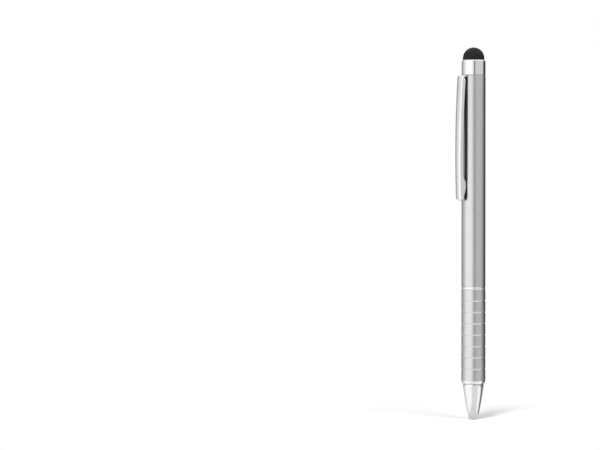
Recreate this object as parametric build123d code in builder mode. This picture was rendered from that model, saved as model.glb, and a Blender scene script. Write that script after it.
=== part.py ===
from build123d import *
import os
from math import cos, pi, sin, sqrt

# Stylus pen with a twist mechanism: millimetres, pen axis on Z, nose end at the origin,
# rubber dome at the top, clip on the -Y side.

# Lengths along the pen, from the nose end up
nose_length = 12.8
nose_groove_height = 0.2
front_ring_height = 1.3
grip_length = 33.7
centre_ring_height = 1.1
upper_barrel_length = 78.5
cap_height = 5.8
dome_skirt = 0.8

# Clearances
seat_clearance = 0.02
thread_clearance = 0.03
turn_clearance = 0.06
slide_clearance = 0.08
twist_gap = 0.1
slot_clearance = 0.1

# Motion
twist_angle = 180.0
refill_travel = 4.5
tip_recess = 1.7

# Refill and spring
refill_diameter = 3.0
refill_length = 67.0
refill_wall = 0.2
point_diameter = 2.2
point_length = 14.5
point_taper_length = 2.6
point_lip_radius = 0.5
ball_diameter = 0.8
ball_clearance = 0.03
ball_show = 0.22
ink_channel_diameter = 0.5
collar_rim = 0.1
collar_height = 1.2
shank_length = 4.0
grease_length = 4.0
air_length = 9.3
spring_wire_diameter = 0.3
spring_clearance = 0.13
spring_turns = 7
spring_wire_sides = 6
spring_seat_height = 6.2

# Mechanism, from the refill outwards
socket_wall = 0.7
socket_depth = 6.0
plunger_web = 1.0
plunger_head = 2.0
guide_wall = 0.6
cam_wall = 0.82
cam_top_land = 3.5
pin_diameter = 1.2
pin_end_gap = 0.1
snap_groove_depth = 0.3
snap_ring_thickness = 0.6
snap_ring_width = 0.9
snap_ring_opening = 70.0
guide_top_land = 1.2

# Coupling between grip and mechanism
coupling_wall = 0.5
coupling_thread_length = 8.0
coupling_lip_height = 0.8
coupling_flange_height = 0.6

# Barrels
barrel_wall = 0.7
edge_break = 0.12
groove_count = 7
groove_width = 0.4
grip_front_land = 6.5

# Nose cone and rings
nose_end_diameter = 3.25
nose_base_diameter = 7.74
nose_bulge = 0.2
nose_end_break = 0.08
spring_bore_diameter = 4.3
spigot_wall = 1.05
spigot_end_gap = 0.5
neck_shoulder = 0.5
ring_relief = 0.08
ring_crown = 0.06
ring_break = 0.08
front_ring_bevel = 0.5

# Cap, dome and core
cap_chamfer = 0.45
cap_lip_height = 1.0
cap_lip_width = 0.4
cap_spigot_length = 6.0
cap_spigot_wall = 0.4
dome_diameter = 8.0
dome_wall = 0.9
dome_flange_height = 1.0
dome_neck_wall = 0.75
core_nipple_height = 1.4

# Clip
clip_root_width = 3.8
clip_end_width = 3.3
clip_sheet = 0.5
clip_length = 46.65
clip_stand_off = 3.2
clip_bow_radius = 410.0
clip_peak_drop = 30.6
clip_flange_depth = 1.45
clip_flange_start = 2.2
clip_bend_radius = 0.8
clip_bump_height = 5.4
clip_bump_length = 1.6
clip_bump_rise = 4.0
clip_bump_gap = 0.06
clip_bump_radius = 1.2
clip_bump_blend = 2.5
clip_rim_radius = 0.3
clip_corner_radius = 1.35
clip_play = 0.05
clip_drop = 0.25
clip_side_gap = 0.08
clip_hook_length = 1.2
clip_hook_gap = 0.3

# Heights of the seams
front_ring_low = nose_length + nose_groove_height
grip_low = front_ring_low + front_ring_height
grip_high = grip_low + grip_length
centre_ring_high = grip_high + centre_ring_height
barrel_low = centre_ring_high + twist_gap
barrel_high = barrel_low + upper_barrel_length
cap_high = barrel_high + cap_height

# Radii of the mechanism, each one around the last
refill_radius = refill_diameter / 2
socket_radius = refill_radius + seat_clearance
plunger_radius = socket_radius + socket_wall
guide_inner = plunger_radius + slide_clearance
guide_outer = guide_inner + guide_wall
cam_inner = guide_outer + turn_clearance
cam_outer = cam_inner + cam_wall
bore_radius = cam_outer + seat_clearance
barrel_radius = bore_radius + barrel_wall
ring_radius = barrel_radius - ring_relief

# Radii of the coupling and of the nose spigot
coupling_bore = guide_outer + seat_clearance
coupling_radius = coupling_bore + coupling_wall
rear_land_radius = coupling_radius + thread_clearance
flange_radius = bore_radius - slide_clearance
spring_bore_radius = spring_bore_diameter / 2
spigot_radius = spring_bore_radius + spigot_wall
front_land_radius = spigot_radius + thread_clearance
neck_radius = spigot_radius + neck_shoulder
point_radius = point_diameter / 2
mouth_radius = point_radius + slide_clearance

# Heights of the refill and the mechanism, point retracted
ball_radius = ball_diameter / 2
ball_height = tip_recess + ball_radius
collar_low = tip_recess + point_length
collar_high = collar_low + collar_height
shank_high = collar_high + shank_length
refill_high = tip_recess + refill_length
pin_radius = pin_diameter / 2
pin_height = refill_high + plunger_web + pin_radius
slot_width = pin_diameter + 2 * slot_clearance
coupling_low = grip_high - coupling_thread_length
guide_low = coupling_low + coupling_lip_height
flange_high = centre_ring_high + coupling_flange_height
cam_low = flange_high + twist_gap
cam_high = pin_height + slot_width / 2 + cam_top_land
snap_low = cam_high + twist_gap
guide_high = snap_low + snap_ring_thickness + guide_top_land


# Nose cone: convex taper, grooved neck, screwed spigot, mouth and spring bore
spigot_high = grip_low + grip_front_land - spigot_end_gap
with BuildPart() as nose_cone:
    with BuildSketch(Plane.XZ):
        with BuildLine():
            SagittaArc((nose_end_diameter / 2, 0), (nose_base_diameter / 2, nose_length), -nose_bulge)
            Polyline(
                (nose_base_diameter / 2, nose_length),
                (neck_radius, nose_length),
                (neck_radius, front_ring_low),
                (spigot_radius, front_ring_low),
                (spigot_radius, spigot_high),
                (spring_bore_radius, spigot_high),
                (spring_bore_radius, spring_seat_height),
                (mouth_radius, spring_seat_height),
                (mouth_radius, 0),
                (nose_end_diameter / 2, 0),
            )
        make_face()
    revolve(axis=Axis.Z)
    nose_rim = nose_cone.edges().group_by(Axis.Z)[0].sort_by(SortBy.RADIUS)[-1]
    chamfer(nose_rim, length=nose_end_break)

# Front ring: crowned trim ring, bevelled down to the neck of the nose cone
with BuildPart() as front_ring:
    with BuildSketch(Plane.XZ):
        with BuildLine():
            Polyline(
                (ring_radius, front_ring_low + front_ring_bevel),
                (ring_radius - front_ring_bevel, front_ring_low),
                (front_land_radius, front_ring_low),
                (front_land_radius, grip_low),
                (ring_radius - ring_break, grip_low),
                (ring_radius, grip_low - ring_break),
            )
            SagittaArc(
                (ring_radius, front_ring_low + front_ring_bevel),
                (ring_radius, grip_low - ring_break),
                -ring_crown,
            )
        make_face()
    revolve(axis=Axis.Z)

# Grip barrel: tube with a thick threaded land at each end and evenly spaced cut grooves
groove_pitch = grip_length / (groove_count + 1)
with BuildPart() as grip_barrel:
    with BuildSketch(Plane.XZ):
        with BuildLine():
            Polyline(
                (front_land_radius, grip_low),
                (barrel_radius, grip_low),
                (barrel_radius, grip_high),
                (rear_land_radius, grip_high),
                (rear_land_radius, coupling_low),
                (bore_radius, coupling_low),
                (bore_radius, grip_low + grip_front_land),
                (front_land_radius, grip_low + grip_front_land),
                close=True,
            )
        make_face()
    revolve(axis=Axis.Z)
    rims = grip_barrel.edges().filter_by(GeomType.CIRCLE).group_by(SortBy.RADIUS)[-1]
    chamfer(rims, length=edge_break)
    with BuildSketch(Plane.XZ):
        with Locations([(barrel_radius, grip_low + n * groove_pitch) for n in range(1, groove_count + 1)]):
            Rectangle(groove_width / sqrt(2), groove_width / sqrt(2), rotation=45)
    revolve(axis=Axis.Z, mode=Mode.SUBTRACT)

# Centre ring: crowned ring clamped between the grip and the coupling's flange
with BuildPart() as centre_ring:
    with BuildSketch(Plane.XZ):
        with BuildLine():
            Polyline(
                (ring_radius, grip_high + ring_break),
                (ring_radius - ring_break, grip_high),
                (rear_land_radius, grip_high),
                (rear_land_radius, centre_ring_high),
                (ring_radius - ring_break, centre_ring_high),
                (ring_radius, centre_ring_high - ring_break),
            )
            SagittaArc(
                (ring_radius, grip_high + ring_break),
                (ring_radius, centre_ring_high - ring_break),
                -ring_crown,
            )
        make_face()
    revolve(axis=Axis.Z)

# Coupling bush: screws into the grip, its flange holds the centre ring, its lip carries the guide tube
with BuildPart() as coupling_bush:
    with BuildSketch(Plane.XZ):
        with BuildLine():
            Polyline(
                (guide_inner, coupling_low),
                (coupling_radius, coupling_low),
                (coupling_radius, centre_ring_high),
                (flange_radius, centre_ring_high),
                (flange_radius, flange_high),
                (coupling_bore, flange_high),
                (coupling_bore, guide_low),
                (guide_inner, guide_low),
                close=True,
            )
        make_face()
    revolve(axis=Axis.Z)

# Guide tube: two straight slots for the drive pin and a groove for the snap ring
with BuildPart() as guide_tube:
    with BuildSketch(Plane.XY.offset(guide_low)):
        Circle(guide_outer)
        Circle(guide_inner, mode=Mode.SUBTRACT)
    extrude(amount=guide_high - guide_low)
    with BuildSketch(Plane.YZ):
        with Locations((0, pin_height - refill_travel / 2)):
            SlotCenterToCenter(refill_travel, slot_width, rotation=90)
    extrude(amount=barrel_radius, both=True, mode=Mode.SUBTRACT)
    with BuildSketch(Plane.XY.offset(snap_low - seat_clearance)):
        Circle(barrel_radius)
        Circle(guide_outer - snap_groove_depth, mode=Mode.SUBTRACT)
    extrude(amount=snap_ring_thickness + 2 * seat_clearance, mode=Mode.SUBTRACT)

# Cutter for one helical cam slot, its upper end over the drive pin
cam_middle = (cam_inner + cam_outer) / 2
cam_lead = refill_travel * 360 / twist_angle
with BuildPart() as cam_cutter:
    with BuildLine():
        cam_path = Helix(
            cam_lead, refill_travel, cam_middle, center=(0, 0, pin_height - refill_travel), lefthand=True
        )
    with BuildSketch(Plane(origin=cam_path @ 0, x_dir=(1, 0, 0), z_dir=cam_path % 0)):
        Rectangle(2 * cam_wall, slot_width)
    sweep(path=cam_path, is_frenet=True)

# Cam sleeve: pressed into the upper barrel, runs on the guide tube, two helical slots with round ends
with BuildPart() as cam_sleeve:
    with BuildSketch(Plane.XY.offset(cam_low)):
        Circle(cam_outer)
        Circle(cam_inner, mode=Mode.SUBTRACT)
    extrude(amount=cam_high - cam_low)
    with PolarLocations(0, 2, start_angle=twist_angle):
        add(cam_cutter.part, mode=Mode.SUBTRACT)
    for slot_end_height, slot_end_angle in ((pin_height, 0), (pin_height - refill_travel, twist_angle)):
        with BuildSketch(Plane.YZ.rotated((0, 0, slot_end_angle))):
            with Locations((0, slot_end_height)):
                Circle(slot_width / 2)
        extrude(amount=barrel_radius, both=True, mode=Mode.SUBTRACT)

# Retaining ring: open snap ring in the guide tube's groove, above the cam sleeve
snap_inner = guide_outer - snap_groove_depth + seat_clearance
with BuildPart() as retaining_ring:
    with BuildSketch(Plane.XZ):
        with Locations((snap_inner + snap_ring_width / 2, snap_low + snap_ring_thickness / 2)):
            Rectangle(snap_ring_width, snap_ring_thickness)
    revolve(axis=Axis.Z, revolution_arc=360 - snap_ring_opening)

# Plunger: slides in the guide tube, holds the refill's end in its socket, crossed by the drive pin
with BuildPart() as plunger:
    with BuildSketch(Plane.XY.offset(refill_high - socket_depth)):
        Circle(plunger_radius)
    extrude(amount=pin_height + plunger_head - refill_high + socket_depth)
    with BuildSketch(Plane.XY.offset(refill_high - socket_depth)):
        Circle(socket_radius)
    extrude(amount=socket_depth, mode=Mode.SUBTRACT)
    with BuildSketch(Plane.YZ):
        with Locations((0, pin_height)):
            Circle(pin_radius + seat_clearance)
    extrude(amount=barrel_radius, both=True, mode=Mode.SUBTRACT)
    plunger_ends = plunger.edges().filter_by(GeomType.CIRCLE).group_by(Axis.Z)
    chamfer(plunger_ends[-1], length=edge_break)

# Drive pin: through the plunger, the straight slots and the helical slots
with BuildPart() as drive_pin:
    with BuildSketch(Plane.YZ):
        with Locations((0, pin_height)):
            Circle(pin_radius)
    extrude(amount=cam_outer - pin_end_gap, both=True)
    chamfer(drive_pin.edges().filter_by(GeomType.CIRCLE), length=edge_break)

# Refill point: taper with the ball's seat, guide land, spring collar and shank
shank_radius = refill_radius - refill_wall - seat_clearance
with BuildPart() as refill_point:
    with BuildSketch(Plane.XZ):
        with BuildLine():
            Polyline(
                (0, tip_recess + ball_show),
                (point_lip_radius, tip_recess + ball_show),
                (point_radius, tip_recess + ball_show + point_taper_length),
                (point_radius, collar_low),
                (refill_radius + collar_rim, collar_low),
                (refill_radius + collar_rim, collar_high),
                (shank_radius, collar_high),
                (shank_radius, shank_high),
                (0, shank_high),
                close=True,
            )
        make_face()
    revolve(axis=Axis.Z)
    with BuildSketch(Plane.XY.offset(ball_height)):
        Circle(ink_channel_diameter / 2)
    extrude(amount=shank_high - ball_height, mode=Mode.SUBTRACT)
    with Locations((0, 0, ball_height)):
        Sphere(ball_radius + ball_clearance, mode=Mode.SUBTRACT)

# Writing ball
with BuildPart() as writing_ball:
    with Locations((0, 0, ball_height)):
        Sphere(ball_radius)

# Refill tube
with BuildPart() as refill_tube:
    with BuildSketch(Plane.XY.offset(collar_high)):
        Circle(refill_radius)
        Circle(refill_radius - refill_wall, mode=Mode.SUBTRACT)
    extrude(amount=refill_high - collar_high)

# Ink column on the shank, and the grease that follows it, with air above
ink_high = refill_high - air_length - grease_length
with BuildPart() as ink_column:
    with BuildSketch(Plane.XY.offset(shank_high)):
        Circle(shank_radius)
    extrude(amount=ink_high - shank_high)

with BuildPart() as grease_plug:
    with BuildSketch(Plane.XY.offset(ink_high)):
        Circle(shank_radius)
    extrude(amount=grease_length)

# Return spring: one wire wound between the nose cone's seat and the refill's collar
spring_radius = point_radius + spring_clearance + spring_wire_diameter / 2
spring_low = spring_seat_height + spring_wire_diameter / 2 + seat_clearance
spring_rise = collar_low - spring_seat_height - spring_wire_diameter - 2 * seat_clearance
quarter_turns = 4 * spring_turns


def spring_point(turn):
    """Point of the wire's centre line after this many turns."""
    angle = 2 * pi * turn
    height = spring_low + spring_rise * turn / spring_turns
    return Vector(spring_radius * cos(angle), spring_radius * sin(angle), height)


def spring_tangent(turn):
    """Direction of the wire's centre line after this many turns."""
    angle = 2 * pi * turn
    climb = spring_rise / spring_turns / (2 * pi * spring_radius)
    return Vector(-sin(angle), cos(angle), climb).normalized()


def biarc_joint(start, start_tangent, end, end_tangent):
    """Point where two arcs from start and end meet with one tangent, and that tangent."""
    chord = end - start
    both = start_tangent + end_tangent
    turn = 2 * (1 - start_tangent.dot(end_tangent))
    reach = (sqrt(chord.dot(both) ** 2 + turn * chord.dot(chord)) - chord.dot(both)) / turn
    first = start + start_tangent * reach
    second = end - end_tangent * reach
    return (first + second) * 0.5, second - first


with BuildPart() as return_spring:
    with BuildLine() as spring_line:
        for quarter in range(quarter_turns):
            start, end = spring_point(quarter / 4), spring_point((quarter + 1) / 4)
            start_tangent, end_tangent = spring_tangent(quarter / 4), spring_tangent((quarter + 1) / 4)
            joint, joint_tangent = biarc_joint(start, start_tangent, end, end_tangent)
            TangentArc(start, joint, tangent=start_tangent)
            TangentArc(joint, end, tangent=joint_tangent)
    with BuildSketch(Plane(origin=spring_point(0), z_dir=spring_tangent(0))):
        RegularPolygon(spring_wire_diameter / 2, spring_wire_sides)
    sweep(path=spring_line.line)

spring_samples = [spring_point(n / 24) for n in range(24 * spring_turns + 1)]
spring_gap = min(
    (a - b).length
    for n, a in enumerate(spring_samples)
    for b in spring_samples[n + 12:]
) - spring_wire_diameter
print(f"return spring: least gap to itself {spring_gap:.2f} mm")

# Upper barrel: plain tube with a notch for the clip in its top rim
clip_top = barrel_high - clip_play
notch_width = clip_root_width + 2 * clip_side_gap
notch_height = clip_play + clip_sheet + clip_drop
with BuildPart() as upper_barrel:
    with BuildSketch(Plane.XY.offset(barrel_low)):
        Circle(barrel_radius)
        Circle(bore_radius, mode=Mode.SUBTRACT)
    extrude(amount=upper_barrel_length)
    rims = upper_barrel.edges().filter_by(GeomType.CIRCLE).group_by(SortBy.RADIUS)[-1]
    chamfer(rims, length=edge_break)
    with BuildSketch(Plane.XZ):
        with Locations((0, barrel_high - notch_height / 2)):
            Rectangle(notch_width, notch_height)
    extrude(amount=2 * barrel_radius, mode=Mode.SUBTRACT)

# Top cap: lipped shell with a spigot in the barrel, slotted from below for the clip's tab
cap_spigot_radius = bore_radius - seat_clearance
cap_bore_radius = cap_spigot_radius - cap_spigot_wall
cap_hole_radius = cap_bore_radius - cap_lip_width
with BuildPart() as top_cap:
    with BuildSketch(Plane.XZ):
        with BuildLine():
            Polyline(
                (cap_bore_radius, barrel_high - cap_spigot_length),
                (cap_spigot_radius, barrel_high - cap_spigot_length),
                (cap_spigot_radius, barrel_high),
                (barrel_radius, barrel_high),
                (barrel_radius, cap_high - cap_chamfer),
                (barrel_radius - cap_chamfer, cap_high),
                (cap_hole_radius, cap_high),
                (cap_hole_radius, cap_high - cap_lip_height),
                (cap_bore_radius, cap_high - cap_lip_height),
                close=True,
            )
        make_face()
    revolve(axis=Axis.Z)
    with BuildSketch(Plane.XZ):
        with Locations((0, barrel_high - cap_spigot_length / 2)):
            Rectangle(notch_width, cap_spigot_length)
    extrude(amount=2 * barrel_radius, mode=Mode.SUBTRACT)

# Stylus dome: hollow rubber tip, its neck through the cap's lip and its flange under it
dome_radius = dome_diameter / 2
dome_centre = cap_high + dome_skirt
dome_neck_radius = cap_hole_radius - seat_clearance
dome_neck_bore = dome_neck_radius - dome_neck_wall
dome_flange_radius = cap_bore_radius - seat_clearance
dome_flange_low = cap_high - cap_lip_height - dome_flange_height
with BuildPart() as stylus_dome:
    with BuildSketch(Plane.XZ):
        with BuildLine():
            CenterArc((0, dome_centre), dome_radius, 0, 90)
            CenterArc((0, dome_centre), dome_radius - dome_wall, 0, 90)
            Line((0, dome_centre + dome_radius - dome_wall), (0, dome_centre + dome_radius))
            Polyline(
                (dome_radius, dome_centre),
                (dome_radius, cap_high),
                (dome_neck_radius, cap_high),
                (dome_neck_radius, cap_high - cap_lip_height),
                (dome_flange_radius, cap_high - cap_lip_height),
                (dome_flange_radius, dome_flange_low),
                (dome_neck_bore, dome_flange_low),
                (dome_neck_bore, dome_centre),
                (dome_radius - dome_wall, dome_centre),
            )
        make_face()
    revolve(axis=Axis.Z)

# Cap core: plug pressed up into the cap, backs the dome's flange and locks the clip's hook
core_radius = cap_bore_radius - seat_clearance
core_low = barrel_high - cap_spigot_length
hook_inner = core_radius - clip_hook_gap - 2 * clip_sheet
hook_pocket_low = clip_top - clip_sheet - clip_hook_length - clip_drop
with BuildPart() as cap_core:
    with BuildSketch(Plane.XY.offset(core_low)):
        Circle(core_radius)
    extrude(amount=dome_flange_low - core_low)
    with BuildSketch(Plane.XY.offset(dome_flange_low)):
        Circle(dome_neck_bore - seat_clearance)
    extrude(amount=dome_centre + core_nipple_height - dome_flange_low)
    core_edges = cap_core.edges().filter_by(GeomType.CIRCLE).group_by(Axis.Z)
    chamfer(core_edges[-1], length=edge_break)
    with BuildSketch(Plane.XZ.offset(hook_inner - clip_hook_gap)):
        with Locations((0, (hook_pocket_low + barrel_high) / 2)):
            Rectangle(notch_width, barrel_high - hook_pocket_low)
    extrude(amount=barrel_radius, mode=Mode.SUBTRACT)


# Clip: bowed, tapered channel of sheet metal with a hooked root and a bump that rests near the barrel
def clip_reach(height, depth=0.0):
    """Distance from the pen's axis of the bowed clip at a height, this deep under its outer face."""
    peak = barrel_radius + clip_stand_off
    fall = height - (barrel_high - clip_peak_drop)
    return peak - clip_bow_radius + sqrt((clip_bow_radius - depth) ** 2 - fall**2)


def clip_point(height, depth=0.0):
    """The same as a point of the clip's side view."""
    return (clip_reach(height, depth), height)


clip_end = clip_top - clip_length
clip_under = clip_top - clip_sheet
flange_top = clip_top - clip_flange_start
bump_middle = clip_end + clip_bump_height
bump_reach = barrel_radius + clip_bump_gap
bump_top = bump_middle + clip_bump_rise
clip_side = Plane(origin=(0, 0, 0), x_dir=(0, -1, 0), z_dir=(-1, 0, 0))


def clip_front(inset):
    """Tapered outline of the clip seen from its front, with this much taken off its sides and end."""
    with BuildSketch(mode=Mode.PRIVATE) as front:
        with BuildLine():
            Polyline(
                (inset - clip_end_width / 2, clip_end + inset),
                (clip_end_width / 2 - inset, clip_end + inset),
                (clip_root_width / 2 - inset, clip_top),
                (inset - clip_root_width / 2, clip_top),
                close=True,
            )
        make_face()
        fillet(front.vertices().group_by(Axis.Y)[0], radius=clip_corner_radius - inset)
    add(front.sketch)


with BuildPart() as clip_channel:
    with BuildSketch(clip_side):
        with BuildLine():
            low, high = clip_end + clip_sheet, clip_under - clip_bend_radius
            ThreePointArc(
                clip_point(low, clip_sheet),
                clip_point((low + high) / 2, clip_sheet),
                clip_point(high, clip_sheet),
            )
            Polyline(clip_point(high, clip_sheet), (0, high), (0, low), clip_point(low, clip_sheet))
        make_face()
    extrude(amount=clip_root_width, both=True)
    with BuildSketch(Plane.XZ):
        clip_front(clip_sheet)
    extrude(amount=2 * bump_reach, mode=Mode.INTERSECT)

with BuildPart() as clip:
    with BuildSketch(clip_side) as clip_profile:
        with BuildLine():
            ThreePointArc(
                clip_point(clip_top), clip_point((clip_top + clip_end) / 2), clip_point(clip_end)
            )
            Polyline(
                clip_point(clip_end),
                clip_point(clip_end, clip_flange_depth),
                (bump_reach, bump_middle - clip_bump_length / 2),
                (bump_reach, bump_middle + clip_bump_length / 2),
                clip_point(bump_top, clip_flange_depth),
            )
            ThreePointArc(
                clip_point(bump_top, clip_flange_depth),
                clip_point((bump_top + flange_top) / 2, clip_flange_depth),
                clip_point(flange_top, clip_flange_depth),
            )
            Polyline(
                clip_point(flange_top, clip_flange_depth),
                clip_point(clip_under - clip_bend_radius, clip_sheet),
                clip_point(clip_under, clip_sheet),
                (hook_inner + clip_sheet, clip_under),
                (hook_inner + clip_sheet, clip_under - clip_hook_length),
                (hook_inner, clip_under - clip_hook_length),
                (hook_inner, clip_top),
                clip_point(clip_top),
            )
        make_face()
        rounded_corners = (
            (clip_point(clip_top), clip_bend_radius + clip_sheet),
            (clip_point(clip_under, clip_sheet), clip_bend_radius),
            ((bump_reach, bump_middle + clip_bump_length / 2), clip_bump_radius),
            ((bump_reach, bump_middle - clip_bump_length / 2), clip_bump_radius),
            (clip_point(bump_top, clip_flange_depth), clip_bump_blend),
        )
        for corner, corner_radius in rounded_corners:
            fillet(clip_profile.vertices().sort_by_distance(corner)[0], radius=corner_radius)
    extrude(amount=clip_root_width, both=True)
    with BuildSketch(Plane.XZ):
        clip_front(0)
    extrude(amount=2 * bump_reach, mode=Mode.INTERSECT)
    add(clip_channel.part, mode=Mode.SUBTRACT)
    clip_face = clip.faces().sort_by(Axis.Y)[0]
    clip_rim = clip_face.outer_wire().edges().sort_by(Axis.Z)[:-1]
    fillet(clip_rim, radius=clip_rim_radius)

pieces = {
    "nose_cone": nose_cone,
    "front_ring": front_ring,
    "grip_barrel": grip_barrel,
    "centre_ring": centre_ring,
    "coupling_bush": coupling_bush,
    "guide_tube": guide_tube,
    "cam_sleeve": cam_sleeve,
    "retaining_ring": retaining_ring,
    "plunger": plunger,
    "drive_pin": drive_pin,
    "return_spring": return_spring,
    "refill_point": refill_point,
    "writing_ball": writing_ball,
    "refill_tube": refill_tube,
    "ink_column": ink_column,
    "grease_plug": grease_plug,
    "upper_barrel": upper_barrel,
    "clip": clip,
    "top_cap": top_cap,
    "cap_core": cap_core,
    "stylus_dome": stylus_dome,
}
os.makedirs("parts", exist_ok=True)
for name, piece in pieces.items():
    piece.part.label = name
    export_step(piece.part, f"parts/{name}.step")
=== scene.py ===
from math import asin, cos, pi, radians, sin, sqrt

import bmesh
import bpy
from mathutils import Matrix, Quaternion, Vector


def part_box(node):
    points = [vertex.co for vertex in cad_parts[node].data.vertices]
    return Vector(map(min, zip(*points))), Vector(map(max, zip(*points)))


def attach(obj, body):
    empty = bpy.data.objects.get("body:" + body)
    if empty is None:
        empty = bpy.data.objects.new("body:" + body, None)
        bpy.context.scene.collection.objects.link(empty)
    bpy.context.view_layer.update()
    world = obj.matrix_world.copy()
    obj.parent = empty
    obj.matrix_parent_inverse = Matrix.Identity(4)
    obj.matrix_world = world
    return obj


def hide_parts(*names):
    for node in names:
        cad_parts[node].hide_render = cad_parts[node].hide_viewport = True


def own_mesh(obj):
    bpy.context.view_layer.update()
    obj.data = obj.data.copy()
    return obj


# Stylus pen: sizes in millimetres below, turned to metres in the mesh. Clip on -Y, nose end at the origin.
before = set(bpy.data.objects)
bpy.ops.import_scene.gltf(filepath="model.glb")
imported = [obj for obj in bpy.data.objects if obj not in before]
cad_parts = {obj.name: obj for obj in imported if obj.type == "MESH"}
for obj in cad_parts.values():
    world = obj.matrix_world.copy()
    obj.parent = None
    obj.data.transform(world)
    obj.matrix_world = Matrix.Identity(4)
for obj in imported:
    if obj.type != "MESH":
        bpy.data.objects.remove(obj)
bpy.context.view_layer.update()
mm = 0.001
turnSteps = 128  # faces round each turned piece
weld = 1e-7  # metres within which points become one
slack = 0.01  # millimetres, for picking faces and edges by their place
print("frame:", len(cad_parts), "nodes")


def cadSpan(node):
    # lowest and highest point of a solid
    low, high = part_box(node)
    return low.z / mm, high.z / mm


ringLow, ringHigh = cadSpan("front_ring")
gripLow, gripHigh = cadSpan("grip_barrel")
beltLow, beltHigh = cadSpan("centre_ring")
barrelHigh = cadSpan("upper_barrel")[1]
capLow, capHigh = cadSpan("top_cap")
domeLow, domeHigh = cadSpan("stylus_dome")
barrelRadius = min(-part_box("upper_barrel")[0].x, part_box("grip_barrel")[1].x) / mm


# materials

bumpDepth = 0.00002
grainSpan = (0.3, 0.7)  # most of the noise lies between these
mottleSpan = (0.35, 0.65)
plainGloss = 0.5


def newMaterial(name):
    mat = bpy.data.materials.new(name)
    mat.use_nodes = True
    nodes, links = mat.node_tree.nodes, mat.node_tree.links
    return mat, nodes, links, nodes["Principled BSDF"]


def addBump(nodes, links, shader, height, strength):
    bump = nodes.new("ShaderNodeBump")
    bump.inputs["Strength"].default_value = strength
    bump.inputs["Distance"].default_value = bumpDepth
    links.new(height, bump.inputs["Height"])
    links.new(bump.outputs["Normal"], shader.inputs["Normal"])


def metal(name, look):
    # the grain varies how sharp the reflections are
    mat, nodes, links, shader = newMaterial(name)
    shader.inputs["Metallic"].default_value = 1.0
    shader.inputs["Base Color"].default_value = (*look["colour"], 1)
    coords = nodes.new("ShaderNodeTexCoord")
    stretch = nodes.new("ShaderNodeMapping")
    stretch.inputs["Scale"].default_value = look["grain"]
    links.new(coords.outputs["Object"], stretch.inputs["Vector"])
    grain = nodes.new("ShaderNodeTexNoise")
    grain.inputs["Scale"].default_value = 1.0
    grain.inputs["Detail"].default_value = 4.0
    links.new(stretch.outputs["Vector"], grain.inputs["Vector"])
    spread = nodes.new("ShaderNodeMapRange")
    spread.inputs["From Min"].default_value, spread.inputs["From Max"].default_value = grainSpan
    spread.inputs["To Min"].default_value, spread.inputs["To Max"].default_value = look["rough"]
    links.new(grain.outputs["Fac"], spread.inputs["Value"])
    links.new(spread.outputs["Result"], shader.inputs["Roughness"])
    if look["bump"] > 0:
        addBump(nodes, links, shader, grain.outputs["Fac"], look["bump"])
    return mat


def plastic(name, look):
    # the mottle varies colour and surface
    mat, nodes, links, shader = newMaterial(name)
    coords = nodes.new("ShaderNodeTexCoord")
    mottle = nodes.new("ShaderNodeTexNoise")
    mottle.inputs["Scale"].default_value = look["scale"]
    mottle.inputs["Detail"].default_value = 3.0
    links.new(coords.outputs["Object"], mottle.inputs["Vector"])
    tint = nodes.new("ShaderNodeValToRGB")
    for stop, place, shade in zip(tint.color_ramp.elements, mottleSpan, ("dark", "light")):
        stop.position = place
        stop.color = (*look[shade], 1)
    links.new(mottle.outputs["Fac"], tint.inputs["Fac"])
    links.new(tint.outputs["Color"], shader.inputs["Base Color"])
    shader.inputs["Roughness"].default_value = look["rough"]
    shader.inputs["Specular IOR Level"].default_value = look.get("gloss", plainGloss)
    addBump(nodes, links, shader, mottle.outputs["Fac"], look["bump"])
    return mat


satinGrain = (14000, 14000, 9000)
turnedGrain = (300, 300, 9000)
satinLook = {"colour": (0.69, 0.692, 0.695), "rough": (0.27, 0.32), "grain": satinGrain, "bump": 0.02}
barrelSatin = metal("barrelSatin", satinLook)
gripSatin = metal("gripSatin", satinLook)
grooveCut = metal("grooveCut", {
    "colour": (0.7, 0.7, 0.705), "rough": (0.24, 0.3), "grain": turnedGrain, "bump": 0.0})
chrome = metal("chrome", {
    "colour": (0.92, 0.92, 0.922), "rough": (0.09, 0.12), "grain": (700, 700, 700), "bump": 0.0})
clipChrome = metal("clipChrome", {
    "colour": (0.91, 0.91, 0.912), "rough": (0.13, 0.16), "grain": (500, 500, 200), "bump": 0.0})
# dark dull metal: painted shade for the recessed nose neck and the cap's seam
paintedSeamShade = metal("paintedSeamShade", {
    "colour": (0.5, 0.5, 0.505), "rough": (0.4, 0.5), "grain": turnedGrain, "bump": 0.0})
# near-black metal on the clip's inner shell and cut edges: painted shade under the clip
paintedClipShade = metal("paintedClipShade", {
    "colour": (0.12, 0.12, 0.125), "rough": (0.4, 0.5), "grain": (800, 800, 300), "bump": 0.03})
turnedBrass = metal("turnedBrass", {
    "colour": (0.8, 0.58, 0.27), "rough": (0.2, 0.3), "grain": turnedGrain, "bump": 0.05})
springSteel = metal("springSteel", {
    "colour": (0.56, 0.56, 0.57), "rough": (0.22, 0.3), "grain": (3000, 3000, 3000), "bump": 0.02})
pinSteel = metal("pinSteel", {
    "colour": (0.62, 0.62, 0.63), "rough": (0.15, 0.22), "grain": turnedGrain, "bump": 0.02})
pointMetal = metal("pointMetal", {
    "colour": (0.72, 0.69, 0.63), "rough": (0.14, 0.2), "grain": turnedGrain, "bump": 0.03})
ballCarbide = metal("ballCarbide", {
    "colour": (0.4, 0.4, 0.41), "rough": (0.12, 0.2), "grain": (6000, 6000, 6000), "bump": 0.0})
refillMetal = metal("refillMetal", {
    "colour": (0.74, 0.71, 0.64), "rough": (0.2, 0.28), "grain": (900, 900, 300), "bump": 0.02})
domeRubber = plastic("domeRubber", {
    "dark": (0.006, 0.006, 0.0063), "light": (0.009, 0.009, 0.0094),
    "rough": 0.5, "scale": 5000, "bump": 0.1, "gloss": 0.2})
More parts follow.
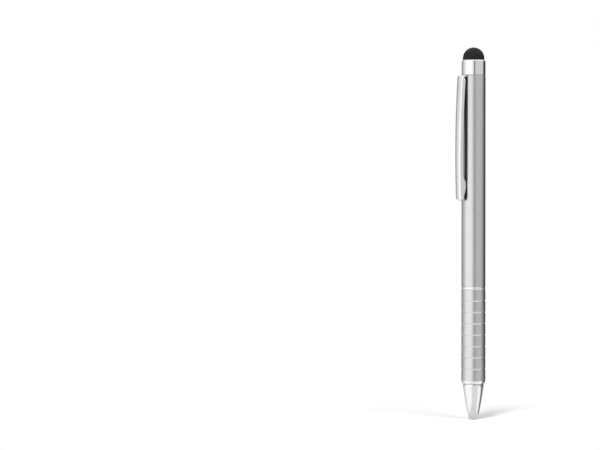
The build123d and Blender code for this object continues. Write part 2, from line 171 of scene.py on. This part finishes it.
whiteAcetal = plastic("whiteAcetal", {
    "dark": (0.74, 0.74, 0.71), "light": (0.8, 0.8, 0.77), "rough": 0.4, "scale": 900, "bump": 0.03})
greyAcetal = plastic("greyAcetal", {
    "dark": (0.05, 0.05, 0.055), "light": (0.07, 0.07, 0.075), "rough": 0.42, "scale": 900, "bump": 0.03})
corePlastic = plastic("corePlastic", {
    "dark": (0.1, 0.1, 0.105), "light": (0.13, 0.13, 0.135), "rough": 0.5, "scale": 900, "bump": 0.04})
pasteInk = plastic("pasteInk", {
    "dark": (0.008, 0.01, 0.06), "light": (0.012, 0.016, 0.085), "rough": 0.2, "scale": 600, "bump": 0.02})
paleGrease = plastic("paleGrease", {
    "dark": (0.6, 0.55, 0.38), "light": (0.68, 0.63, 0.46), "rough": 0.35, "scale": 600, "bump": 0.05})
print("materials:", len(bpy.data.materials))


# modelling helpers

shadingWeight = 80  # how far large faces lead the shading of the rounded edges
openEnd = 1.0  # how far a slot runs past the end of a tube


def turned(points):
    # a closed profile of a few points (radius, height), spun round the pen's axis
    bm = bmesh.new()
    verts = [bm.verts.new((r * mm, 0, z * mm)) for r, z in points]
    edges = [bm.edges.new(pair) for pair in zip(verts, verts[1:] + verts[:1])]
    bmesh.ops.spin(
        bm, geom=verts + edges, cent=(0, 0, 0), axis=(0, 0, 1), angle=2 * pi, steps=turnSteps, use_merge=True)
    return bm


def bulged(lowRadius, highRadius, low, high, bulge, steps):
    # profile from one radius and height to the next, swelling in between
    curve = []
    for n in range(steps + 1):
        t = n / steps
        radius = lowRadius + (highRadius - lowRadius) * t + 4 * bulge * t * (1 - t)
        curve.append((radius, low + (high - low) * t))
    return curve


def radiusOf(vert):
    return sqrt(vert.co.x**2 + vert.co.y**2) / mm


def heightOf(face):
    return face.calc_center_median().z / mm


def cutSlot(bm, halfWidth, low, high, wallMiddle):
    # straight-sided opening on the clip's side of a tube
    for side in (-1, 1):
        wall = [f for f in bm.faces if f.calc_center_median().y < 0 and low < heightOf(f) < high]
        geom = list({e for f in wall for e in f.edges}) + list({v for f in wall for v in f.verts}) + wall
        bmesh.ops.bisect_plane(
            bm, geom=geom, dist=weld, plane_co=(side * halfWidth * mm, 0, 0), plane_no=(1, 0, 0))
    inside = []
    for face in bm.faces:
        middle = face.calc_center_median()
        if middle.y < 0 and abs(middle.x) < halfWidth * mm and low < middle.z / mm < high:
            inside.append(face)
    bmesh.ops.delete(bm, geom=inside, context="FACES")
    rim = [e for e in bm.edges if e.is_boundary]
    outer = [e for e in rim if all(radiusOf(v) > wallMiddle for v in e.verts)]
    inner = [e for e in rim if all(radiusOf(v) < wallMiddle for v in e.verts)]
    bmesh.ops.bridge_loops(bm, edges=outer + inner)


def roundEdges(piece, width, segments, angle, clamp=True):
    bevel = piece.modifiers.new("edges", "BEVEL")
    bevel.width = width * mm
    bevel.segments = segments
    bevel.limit_method = "ANGLE"
    bevel.angle_limit = radians(angle)
    bevel.use_clamp_overlap = clamp
    piece.modifiers.new("shading", "WEIGHTED_NORMAL").weight = shadingWeight


def addPiece(name, bm, body, node, mats, edge=0.0, edgeAngle=25, edgeSegments=3):
    bmesh.ops.remove_doubles(bm, verts=bm.verts, dist=weld)
    bmesh.ops.recalc_face_normals(bm, faces=bm.faces)
    mesh = bpy.data.meshes.new(name)
    bm.to_mesh(mesh)
    bm.free()
    mesh.shade_smooth()
    for mat in mats:
        mesh.materials.append(mat)
    piece = bpy.data.objects.new(name, mesh)
    bpy.context.scene.collection.objects.link(piece)
    if edge > 0:
        roundEdges(piece, edge, edgeSegments, edgeAngle)
    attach(piece, body)
    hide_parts(node)
    return piece


# nose cone, slightly bulged, with painted shade on the neck under the front ring

nose = {
    "high": 12.8, "endRadius": 1.625, "baseRadius": 3.87, "bulge": 0.2, "steps": 14, "mouth": 1.18, "seat": 6.2,
    "bore": 2.15, "spigot": 3.2, "neck": 3.7, "neckSlack": 0.05, "spigotHigh": 20.3, "edge": 0.03}
noseCurve = bulged(nose["endRadius"], nose["baseRadius"], 0, nose["high"], nose["bulge"], nose["steps"])
bm = turned(noseCurve + [
    (nose["neck"], nose["high"]), (nose["neck"], ringLow),
    (nose["spigot"], ringLow), (nose["spigot"], nose["spigotHigh"]),
    (nose["bore"], nose["spigotHigh"]), (nose["bore"], nose["seat"]),
    (nose["mouth"], nose["seat"]), (nose["mouth"], 0)])
# the neck faces take the second material, painted shade in the recess
for face in bm.faces:
    atNeck = all(abs(radiusOf(v) - nose["neck"]) < nose["neckSlack"] for v in face.verts)
    if atNeck and nose["high"] - slack < heightOf(face) < ringLow + slack:
        face.material_index = 1
addPiece("noseCone", bm, "lower", "nose_cone", [chrome, paintedSeamShade], edge=nose["edge"])

# front ring, tapered down to the neck

frontRing = {
    "topRadius": 4.46, "waistRadius": 4.36, "waistDrop": 0.7, "lowRadius": 3.95, "bore": 3.23, "edge": 0.12}
bm = turned([
    (frontRing["bore"], ringLow), (frontRing["lowRadius"], ringLow),
    (frontRing["waistRadius"], ringHigh - frontRing["waistDrop"]),
    (frontRing["topRadius"], ringHigh), (frontRing["bore"], ringHigh)])
addPiece("frontRing", bm, "lower", "front_ring", [chrome], edge=frontRing["edge"], edgeSegments=4)

# grip with its cut grooves

grip = {
    "grooves": 7, "halfWidth": 0.25, "depth": 0.18, "frontLand": 3.23, "frontLandHigh": 20.8,
    "rearLand": 3.45, "rearLandLow": 40.0, "bore": 3.8, "edge": 0.03}
pitch = (gripHigh - gripLow) / (grip["grooves"] + 1)
grooveFloor = barrelRadius - grip["depth"]
gripWall = [(barrelRadius, gripLow)]
for n in range(1, grip["grooves"] + 1):
    z = gripLow + n * pitch
    gripWall += [
        (barrelRadius, z - grip["halfWidth"]), (grooveFloor, z), (barrelRadius, z + grip["halfWidth"])]
gripWall.append((barrelRadius, gripHigh))
bm = turned(gripWall + [
    (grip["rearLand"], gripHigh), (grip["rearLand"], grip["rearLandLow"]),
    (grip["bore"], grip["rearLandLow"]), (grip["bore"], grip["frontLandHigh"]),
    (grip["frontLand"], grip["frontLandHigh"]), (grip["frontLand"], gripLow)])
grooveRadii = [round(grooveFloor, 3), round(barrelRadius, 3)]
for face in bm.faces:
    if sorted({round(radiusOf(v), 3) for v in face.verts}) == grooveRadii:
        face.material_index = 1
addPiece(
    "gripBarrel", bm, "lower", "grip_barrel", [gripSatin, grooveCut],
    edge=grip["edge"], edgeSegments=2)

# centre ring at the twist joint, crowned

centreRing = {"rimRadius": 4.29, "crown": 0.19, "steps": 8, "bore": 3.45, "edge": 0.05}
crowned = bulged(
    centreRing["rimRadius"], centreRing["rimRadius"], beltLow, beltHigh, centreRing["crown"], centreRing["steps"])
bm = turned(crowned + [(centreRing["bore"], beltHigh), (centreRing["bore"], beltLow)])
addPiece("centreRing", bm, "lower", "centre_ring", [chrome], edge=centreRing["edge"], edgeAngle=40)

# upper barrel with the notch for the clip

barrel = {"bore": 3.8, "notchHalf": 1.98, "notchHeight": 0.8, "twistGap": 0.03, "edge": 0.06}
twistLow = beltHigh + barrel["twistGap"]
notchLow = barrelHigh - barrel["notchHeight"]
bm = turned([
    (barrelRadius, twistLow), (barrelRadius, notchLow), (barrelRadius, barrelHigh),
    (barrel["bore"], barrelHigh), (barrel["bore"], notchLow), (barrel["bore"], twistLow)])
cutSlot(bm, barrel["notchHalf"], notchLow, barrelHigh + openEnd, (barrelRadius + barrel["bore"]) / 2)
addPiece("upperBarrel", bm, "upper", "upper_barrel", [barrelSatin], edge=barrel["edge"])

# top cap with its slotted spigot, painted shade in the seam

cap = {"chamfer": 0.45, "seam": 0.15, "spigot": 3.78, "bore": 3.38, "hole": 2.98, "lip": 1.0, "edge": 0.06}
seamHigh = barrelHigh + cap["seam"]
spigotMiddle = (cap["bore"] + cap["spigot"]) / 2
bm = turned([
    (cap["bore"], capLow), (cap["spigot"], capLow), (cap["spigot"], seamHigh), (barrelRadius, seamHigh),
    (barrelRadius, capHigh - cap["chamfer"]), (barrelRadius - cap["chamfer"], capHigh), (cap["hole"], capHigh),
    (cap["hole"], capHigh - cap["lip"]), (cap["bore"], capHigh - cap["lip"]), (cap["bore"], barrelHigh)])
cutSlot(bm, barrel["notchHalf"], capLow - openEnd, barrelHigh - slack, spigotMiddle)
# the spigot faces inside the seam take the second material, painted shade in the gap
for face in bm.faces:
    onSpigot = spigotMiddle < min(radiusOf(v) for v in face.verts) < cap["spigot"] + slack
    if onSpigot and heightOf(face) < seamHigh - slack:
        face.material_index = 1
addPiece("topCap", bm, "upper", "top_cap", [chrome, paintedSeamShade], edge=cap["edge"])

# rubber dome, hollow, with its flange under the cap's lip

dome = {
    "radius": 4.0, "wall": 0.9, "steps": 16, "hollowSteps": 8, "neck": 2.96, "bore": 2.21, "flange": 3.36,
    "lip": 1.0, "edge": 0.15}
domeMiddle = domeHigh - dome["radius"]
hollow = dome["radius"] - dome["wall"]
outside = []
for n in range(dome["steps"] + 1):
    turn = pi / 2 * n / dome["steps"]
    outside.append((dome["radius"] * cos(turn), domeMiddle + dome["radius"] * sin(turn)))
inside = []
for n in range(dome["hollowSteps"] + 1):
    turn = pi / 2 * n / dome["hollowSteps"]
    inside.append((hollow * sin(turn), domeMiddle + hollow * cos(turn)))
bm = turned(outside + inside + [
    (dome["bore"], domeMiddle), (dome["bore"], domeLow), (dome["flange"], domeLow),
    (dome["flange"], capHigh - dome["lip"]), (dome["neck"], capHigh - dome["lip"]),
    (dome["neck"], capHigh), (dome["radius"], capHigh)])
addPiece(
    "stylusDome", bm, "upper", "stylus_dome", [domeRubber],
    edge=dome["edge"], edgeAngle=40, edgeSegments=4)
print("turned pieces done")

# clip: a rounded channel section spun round the free end, run up in rows and bent along its path to the hook

clip = {
    "rootWidth": 3.8, "endWidth": 3.3, "sheet": 0.5, "bow": 410.0, "peakDrop": 30.6,
    "reach": -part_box("clip")[0].y / mm - 0.002,  # a hair inside the solid's box
    "faceRadius": 4.4, "rimRadius": 0.65, "sideDepth": 1.52, "rootDepth": 0.57, "rootRun": 0.6, "edge": 0.07,
    "bendRadius": 1.3, "hookInner": 2.06, "hookRadius": 0.75, "hookLength": 0.95,
    "bumpHeight": 5.6, "bumpFlat": 1.4, "bumpRise": 3.8, "bumpSlope": 0.6, "bumpGap": 0.28,
    "faceSteps": 5, "rimSteps": 8, "sideSteps": 3, "endSteps": 32,  # across the section and round the free end
    "bumpRows": 26, "bumpPitch": 0.32, "bowRows": 24, "topRows": 8, "topPitch": 0.3, "bendRows": 12, "hookRows": 8}
clipEnd, clipTop = cadSpan("clip")
clipPeak = barrelHigh - clip["peakDrop"]
faceTop = clipTop - clip["bendRadius"]
for n in range(4):  # the bow's lean and the start of the bend depend on each other
    lean = asin((faceTop - clipPeak) / clip["bow"])
    faceTop = clipTop - clip["bendRadius"] * (1 - sin(lean))


def clipReach(level):
    return clip["reach"] - clip["bow"] + sqrt(clip["bow"] ** 2 - (level - clipPeak) ** 2)


bendOut = clipReach(faceTop) - clip["bendRadius"] * cos(lean)
tabStart = faceTop + clip["bendRadius"] * (pi / 2 - lean)
hookStart = tabStart + bendOut - clip["hookInner"] - clip["hookRadius"]
hookDown = hookStart + clip["hookRadius"] * pi / 2
blankTop = hookDown + clip["hookLength"]


def bendPath(level):
    # distance from the pen's axis, height, and the angle of the outward direction above level
    if level <= faceTop:
        return clipReach(level), level, asin((level - clipPeak) / clip["bow"])
    if level <= tabStart:
        turn = lean + (level - faceTop) / clip["bendRadius"]
        return bendOut + clip["bendRadius"] * cos(turn), clipTop - clip["bendRadius"] * (1 - sin(turn)), turn
    if level <= hookStart:
        return bendOut - (level - tabStart), clipTop, pi / 2
    turn = pi / 2 + min(pi / 2, (level - hookStart) / clip["hookRadius"])
    drop = max(0.0, level - hookDown)
    height = clipTop - clip["hookRadius"] * (1 - sin(turn)) - drop
    return clip["hookInner"] + clip["hookRadius"] * (1 + cos(turn)), height, turn


def clamped(t):
    return min(1.0, max(0.0, t))


def smooth(t):
    t = clamped(t)
    return t * t * (3 - 2 * t)


def sideDepth(level):
    # how far the folded sides come in from the clip's face, with the bump near the free end
    middle = clipEnd + clip["bumpHeight"]
    low = clamped((level - clipEnd) / (clip["bumpHeight"] - clip["bumpFlat"] / 2))
    below = clip["bumpSlope"] * low + (1 - clip["bumpSlope"]) * smooth(low)
    above = smooth((middle + clip["bumpRise"] - level) / (clip["bumpRise"] - clip["bumpFlat"] / 2))
    bumpDeep = clipReach(middle) - barrelRadius - clip["bumpGap"]
    return clip["sideDepth"] + (bumpDeep - clip["sideDepth"]) * min(below, above)


def rootScale(level):
    # the sides run out into the flat tab round the bend
    share = smooth((tabStart - level) / (tabStart - faceTop + clip["rootRun"]))
    return (clip["rootDepth"] + (clip["sideDepth"] - clip["rootDepth"]) * share) / clip["sideDepth"]


def vertsOf(geom):
    return [g for g in geom if isinstance(g, bmesh.types.BMVert)]


def spaced(start, end, count):
    return [start + (end - start) * n / count for n in range(1, count + 1)]


endHalf = clip["endWidth"] / 2
endMiddle = clipEnd + endHalf
rimOut = clip["faceRadius"] - clip["rimRadius"]
rimTurn = asin((endHalf - clip["rimRadius"]) / rimOut)
rimDeep = clip["faceRadius"] - rimOut * cos(rimTurn)  # depth at which the rounded rim meets the straight side

bm = bmesh.new()
tip = [bm.verts.new((0, 0, endMiddle * mm))]
sectionArcs = (
    (0, clip["faceRadius"], rimTurn, clip["faceSteps"]),
    (rimOut * sin(rimTurn), rimDeep, pi / 2 - rimTurn, clip["rimSteps"]))
for out, deep, angle, steps in sectionArcs:
    swept = bmesh.ops.spin(
        bm, geom=tip, cent=(out * mm, deep * mm, endMiddle * mm), axis=(0, 0, 1), angle=angle, steps=steps)
    tip = vertsOf(swept["geom_last"])
for n in range(clip["sideSteps"]):
    tip = bmesh.ops.extrude_vert_indiv(bm, verts=tip)["verts"]
    bmesh.ops.translate(bm, verts=tip, vec=(0, (clip["sideDepth"] - rimDeep) / clip["sideSteps"] * mm, 0))
bmesh.ops.spin(
    bm, geom=bm.verts[:] + bm.edges[:], cent=(0, 0, endMiddle * mm), axis=(0, 1, 0), angle=pi,
    steps=clip["endSteps"])
bmesh.ops.remove_doubles(bm, verts=bm.verts, dist=weld)

# rows are close at the bump and the bends, wider along the bow
rows = [endMiddle + clip["bumpPitch"] * n for n in range(1, clip["bumpRows"] + 1)]
bowTop = faceTop - clip["topPitch"] * clip["topRows"]
rows += spaced(rows[-1], bowTop, clip["bowRows"])
rows += [bowTop + clip["topPitch"] * n for n in range(1, clip["topRows"] + 1)]
rows += spaced(faceTop, tabStart, clip["bendRows"])
rows += [hookStart] + spaced(hookStart, hookDown, clip["hookRows"]) + [blankTop]
level = endMiddle
for row in rows:
    top = [e for e in bm.edges if all(abs(v.co.z / mm - level) < slack for v in e.verts)]
    grown = bmesh.ops.extrude_edge_only(bm, edges=top)["geom"]
    bmesh.ops.translate(bm, verts=vertsOf(grown), vec=(0, 0, (row - level) * mm))
    level = row
for vert in bm.verts:
    x, depth, level = vert.co / mm
    out, height, turn = bendPath(level)
    taper = max(0.0, (min(level, clipTop) - endMiddle) / (clipTop - endMiddle))
    x *= (clip["endWidth"] + (clip["rootWidth"] - clip["endWidth"]) * taper) / clip["endWidth"]
    if depth > rimDeep:
        depth = rimDeep + (depth - rimDeep) * (sideDepth(level) - rimDeep) / (clip["sideDepth"] - rimDeep)
    depth *= rootScale(level)
    vert.co = Vector((x, -(out - depth * cos(turn)), height - depth * sin(turn))) * mm
bmesh.ops.recalc_face_normals(bm, faces=bm.faces)
if min(bm.faces, key=lambda f: f.calc_center_median().y).normal.y > 0:
    bmesh.ops.reverse_faces(bm, faces=bm.faces)
clipPiece = addPiece("clipSpring", bm, "clip", "clip", [clipChrome, paintedClipShade])
sheet = clipPiece.modifiers.new("sheet", "SOLIDIFY")
sheet.thickness = clip["sheet"] * mm
sheet.offset = -1.0
# the inner shell and cut edges take the second material, painted shade under the clip
sheet.material_offset = 1
sheet.material_offset_rim = 1
roundEdges(clipPiece, clip["edge"], segments=2, angle=50, clamp=False)
print("clip done:", len(clipPiece.data.polygons), "faces")

# writing end of the refill: point, ball and return spring

point = {
    "lip": 0.5, "radius": 1.1, "taper": 2.6, "collar": 1.6, "shank": 1.28, "channel": 0.25, "channelLow": 0.35,
    "seat": 0.43, "springGap": 0.02, "edge": 0.03}
coilLow, coilHigh = cadSpan("return_spring")
tipLow, ballHigh = cadSpan("writing_ball")
pointLow, pointHigh = cadSpan("refill_point")
collarLow, collarHigh = coilHigh + point["springGap"], cadSpan("refill_tube")[0]
ballMiddle = (tipLow + ballHigh) / 2
mouthRadius = sqrt(point["seat"] ** 2 - (ballMiddle - pointLow) ** 2)
bm = turned([
    (mouthRadius, pointLow), (point["lip"], pointLow), (point["radius"], pointLow + point["taper"]),
    (point["radius"], collarLow), (point["collar"], collarLow), (point["collar"], collarHigh),
    (point["shank"], collarHigh), (point["shank"], pointHigh), (point["channel"], pointHigh),
    (point["channel"], ballMiddle + point["channelLow"]), (point["seat"], ballMiddle)])
addPiece("refillTip", bm, "refill", "refill_point", [pointMetal], edge=point["edge"])

bm = bmesh.new()
bmesh.ops.create_uvsphere(
    bm, u_segments=32, v_segments=16, radius=(ballHigh - tipLow) / 2 * mm,
    matrix=Matrix.Translation((0, 0, ballMiddle * mm)))
addPiece("rollingBall", bm, "ball", "writing_ball", [ballCarbide])

coil = {"radius": 1.38, "wire": 0.3, "wireSides": 12, "turns": 7, "steps": 36}
coilRise = (coilHigh - coilLow - coil["wire"]) * mm
wireStart = Matrix.Translation((coil["radius"] * mm, 0, (coilLow + coil["wire"] / 2) * mm))
wireSteps = coil["turns"] * coil["steps"]
bm = bmesh.new()
bmesh.ops.create_circle(
    bm, segments=coil["wireSides"], radius=coil["wire"] / 2 * mm, cap_ends=False,
    matrix=wireStart @ Matrix.Rotation(pi / 2, 4, "X"))
bmesh.ops.spin(
    bm, geom=bm.verts[:] + bm.edges[:], cent=(0, 0, 0), axis=(0, 0, 1), dvec=(0, 0, coilRise / wireSteps),
    angle=2 * pi * coil["turns"], steps=wireSteps)
bmesh.ops.holes_fill(bm, edges=[e for e in bm.edges if e.is_boundary])
springPiece = addPiece("springCoil", bm, "lower", "return_spring", [springSteel])
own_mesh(springPiece)
print("refill end done")

# inner pieces keep their solids and get their finish

innerLooks = {
    "coupling_bush": turnedBrass, "guide_tube": whiteAcetal, "cam_sleeve": greyAcetal,
    "retaining_ring": springSteel, "plunger": whiteAcetal, "drive_pin": pinSteel,
    "refill_tube": refillMetal, "ink_column": pasteInk, "grease_plug": paleGrease, "cap_core": corePlastic}
for node, mat in innerLooks.items():
    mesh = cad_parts[node].data
    mesh.materials.clear()
    mesh.materials.append(mat)
print("inner finishes:", len(innerLooks))

# floor, world, lamps and reflection panels, in metres and degrees; the floor's drop is in millimetres

stageLook = {
    "floor": 0.9, "floorSize": 6, "floorDrop": 0.25, "lift": 0.08, "shadowNear": 0.012, "shadowFar": 0.1,
    "ambient": 0.41, "viewAzimuth": 52.5, "aimHeight": 0.03, "panelDistance": 0.45, "panelSteps": 24}
lamps = {
    "keyLamp": {"azimuth": -12, "distance": 0.75, "height": 0.75, "size": 0.16, "power": 7.3},
    "fillLamp": {"azimuth": 34, "distance": 0.75, "height": 0.6, "size": 0.45, "power": 3.6}}


def mathNode(nodes, links, operation, *values):
    # each value is a socket or a number
    node = nodes.new("ShaderNodeMath")
    node.operation = operation
    for socket, value in zip(node.inputs, values):
        if isinstance(value, float):
            socket.default_value = value
        else:
            links.new(value, socket)
    return node.outputs["Value"]


def seenRays(nodes, links):
    # 1 for rays that the camera, gloss or glass follow, 0 for the light that falls on things
    path = nodes.new("ShaderNodeLightPath").outputs
    seen = mathNode(nodes, links, "MAXIMUM", path["Is Camera Ray"], path["Is Glossy Ray"])
    return mathNode(nodes, links, "MAXIMUM", seen, path["Is Transmission Ray"])


def awayNode(nodes, links):
    # distance from the pen's nose end
    coords = nodes.new("ShaderNodeTexCoord")
    away = nodes.new("ShaderNodeVectorMath")
    away.operation = "LENGTH"
    links.new(coords.outputs["Object"], away.inputs[0])
    return away.outputs["Value"]


def addStage(name, bm, mat):
    mesh = bpy.data.meshes.new(name)
    bm.to_mesh(mesh)
    bm.free()
    mesh.materials.append(mat)
    thing = bpy.data.objects.new(name, mesh)
    bpy.context.scene.collection.objects.link(thing)
    return thing


# the floor takes shadow near the pen and runs out into white
floorPaint, nodes, links, shader = newMaterial("floorPaint")
shader.inputs["Base Color"].default_value = (stageLook["floor"],) * 3 + (1,)
shader.inputs["Roughness"].default_value = 1.0
shader.inputs["Specular IOR Level"].default_value = 0.0
seen = seenRays(nodes, links)
lift = nodes.new("ShaderNodeEmission")
links.new(mathNode(nodes, links, "MULTIPLY", seen, stageLook["lift"]), lift.inputs["Strength"])
lit = nodes.new("ShaderNodeAddShader")
links.new(shader.outputs["BSDF"], lit.inputs[0])
links.new(lift.outputs["Emission"], lit.inputs[1])
far = nodes.new("ShaderNodeMapRange")
far.interpolation_type = "SMOOTHSTEP"
far.inputs["From Min"].default_value = stageLook["shadowNear"]
far.inputs["From Max"].default_value = stageLook["shadowFar"]
links.new(awayNode(nodes, links), far.inputs["Value"])
white = nodes.new("ShaderNodeEmission")
blend = nodes.new("ShaderNodeMixShader")
links.new(mathNode(nodes, links, "MULTIPLY", seen, far.outputs["Result"]), blend.inputs["Fac"])
links.new(lit.outputs["Shader"], blend.inputs[1])
links.new(white.outputs["Emission"], blend.inputs[2])
links.new(blend.outputs["Shader"], nodes["Material Output"].inputs["Surface"])
bm = bmesh.new()
bmesh.ops.create_grid(
    bm, x_segments=1, y_segments=1, size=stageLook["floorSize"],
    matrix=Matrix.Translation((0, 0, -stageLook["floorDrop"] * mm)))
floor = addStage("floor", bm, floorPaint)
floor.visible_glossy = False
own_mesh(floor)

world = bpy.data.worlds.new("studio")
world.use_nodes = True
bpy.context.scene.world = world
nodes, links = world.node_tree.nodes, world.node_tree.links
back = nodes["Background"]
back.inputs["Color"].default_value = (1, 1, 1, 1)
strength = nodes.new("ShaderNodeMapRange")
strength.inputs["To Min"].default_value = stageLook["ambient"]
strength.inputs["To Max"].default_value = 1.0
links.new(seenRays(nodes, links), strength.inputs["Value"])
links.new(strength.outputs["Result"], back.inputs["Strength"])


def around(azimuth, distance, height):
    # azimuth counts from the camera's side of the pen, to the right
    turn = radians(stageLook["viewAzimuth"] + azimuth)
    return Vector((sin(turn) * distance, -cos(turn) * distance, height))


for name, look in lamps.items():
    lamp = bpy.data.lights.new(name, "AREA")
    lamp.size = look["size"]
    lamp.energy = look["power"]
    holder = bpy.data.objects.new(name, lamp)
    holder.location = around(look["azimuth"], look["distance"], look["height"])
    holder.rotation_mode = "QUATERNION"
    aim = Vector((0, 0, stageLook["aimHeight"])) - holder.location
    holder.rotation_quaternion = aim.to_track_quat("-Z", "Y")
    holder.visible_glossy = False
    bpy.context.scene.collection.objects.link(holder)


def addPanel(name, bm, bright, fade=None):
    # a glowing surface that only reflections see; fade gives a radius and the brightness there
    paint, nodes, links, shader = newMaterial(name)
    nodes.remove(shader)
    glow = nodes.new("ShaderNodeEmission")
    glow.inputs["Strength"].default_value = bright
    links.new(glow.outputs["Emission"], nodes["Material Output"].inputs["Surface"])
    if fade:
        ramp = nodes.new("ShaderNodeMapRange")
        ramp.inputs["From Max"].default_value, ramp.inputs["To Max"].default_value = fade
        ramp.inputs["To Min"].default_value = bright
        links.new(awayNode(nodes, links), ramp.inputs["Value"])
        links.new(ramp.outputs["Result"], glow.inputs["Strength"])
    panel = addStage(name, bm, paint)
    panel.visible_camera = False
    panel.visible_diffuse = False
    panel.visible_shadow = False


# upright panels round the pen: azimuth from, to, height from, to, brightness
panels = {
    "leftSoftbox": (-82, -13, -0.05, 0.163, 1.22),
    "leftUpper": (-82, -13, 0.163, 0.42, 1.03),
    "leftHigh": (-82, -13, 0.42, 1.5, 1.2),
    "leftShade": (-112, -82, -0.05, 0.42, 0.76),
    "backShade": (-150, -112, -0.05, 0.42, 0.38),
    "lensEdge": (-13, 2, -0.06, 0.42, 0.85),
    "lensGap": (2, 17, -0.06, 0.42, 0.26),
    "rightFill": (17, 74, -0.06, 0.42, 0.66),
    "rightStep": (74, 88, 0.04, 0.14, 0.57),
    "gripStep": (74, 88, -0.06, 0.04, 0.49),
    "rightHigh": (74, 100, 0.14, 0.42, 0.66),
    "rightFall": (88, 100, 0.04, 0.14, 0.5),
    "gripFall": (88, 100, -0.09, 0.04, 0.4),
    "rightShade": (100, 112, -0.16, 0.42, 0.24),
    "darkFlag": (112, 152, -0.05, 0.42, 0.05),
    "lowFlag": (112, 152, -0.4, -0.05, 0.2),
    "backFill": (152, 210, -0.4, 0.42, 0.5),
    "lowBack": (-150, -112, -0.4, -0.05, 0.68),
    "lowLeft": (-112, -82, -0.4, -0.05, 1.0),
    "lowSoftbox": (-82, -28, -0.2, -0.05, 1.03),
    "lowStep": (-28, -16, -0.2, -0.05, 0.95),
    "lowMiddle": (-16, 56, -0.2, -0.06, 0.76),
    "tipShade": (-82, 100, -0.29, -0.2, 0.68)}
for name, (start, end, low, high, bright) in panels.items():
    bm = bmesh.new()
    foot, head = [bm.verts.new(around(start, stageLook["panelDistance"], height)) for height in (low, high)]
    edge = bm.edges.new((foot, head))
    bmesh.ops.spin(
        bm, geom=[foot, head, edge], cent=(0, 0, 0), axis=(0, 0, 1), angle=radians(end - start),
        steps=stageLook["panelSteps"])
    addPanel(name, bm, bright)

# the shaded floor round the tip, as the tip reflects it
contact = {"radius": 9.0, "below": 0.3, "bright": 0.57, "rimBright": 0.76, "sides": 48}  # millimetres
bm = bmesh.new()
bmesh.ops.create_circle(
    bm, cap_ends=True, segments=contact["sides"], radius=contact["radius"] * mm,
    matrix=Matrix.Translation((0, 0, -contact["below"] * mm)))
addPanel("contactShade", bm, contact["bright"], fade=(contact["radius"] * mm, contact["rimBright"]))
print("stage done")

# camera: the pen stands right of the middle, as in the photograph; focal length and pitch are in pixels

shot = {
    "focal": 2150.0, "distance": 0.8010, "height": 0.062, "side": 0.06463, "azimuth": 57.1, "pitchUp": 26.7,
    "roll": 0.11, "sensor": 36.0, "imageWidth": 600, "nearest": 0.01}
turn = radians(shot["azimuth"])
ahead = Vector((-sin(turn), cos(turn), 0))
right = Vector((cos(turn), sin(turn), 0))
camera = bpy.data.cameras.new("camera")
camera.sensor_width = shot["sensor"]
camera.lens = shot["focal"] * shot["sensor"] / shot["imageWidth"]
camera.clip_start = shot["nearest"]
holder = bpy.data.objects.new("camera", camera)
holder.location = -ahead * shot["distance"] - right * shot["side"] + Vector((0, 0, shot["height"]))
aim = ahead + Vector((0, 0, shot["pitchUp"] / shot["focal"]))
holder.rotation_mode = "QUATERNION"
holder.rotation_quaternion = aim.to_track_quat("-Z", "Y") @ Quaternion((0, 0, 1), radians(shot["roll"]))
bpy.context.scene.collection.objects.link(holder)
bpy.context.scene.camera = holder
bpy.context.scene.view_settings.view_transform = "Standard"
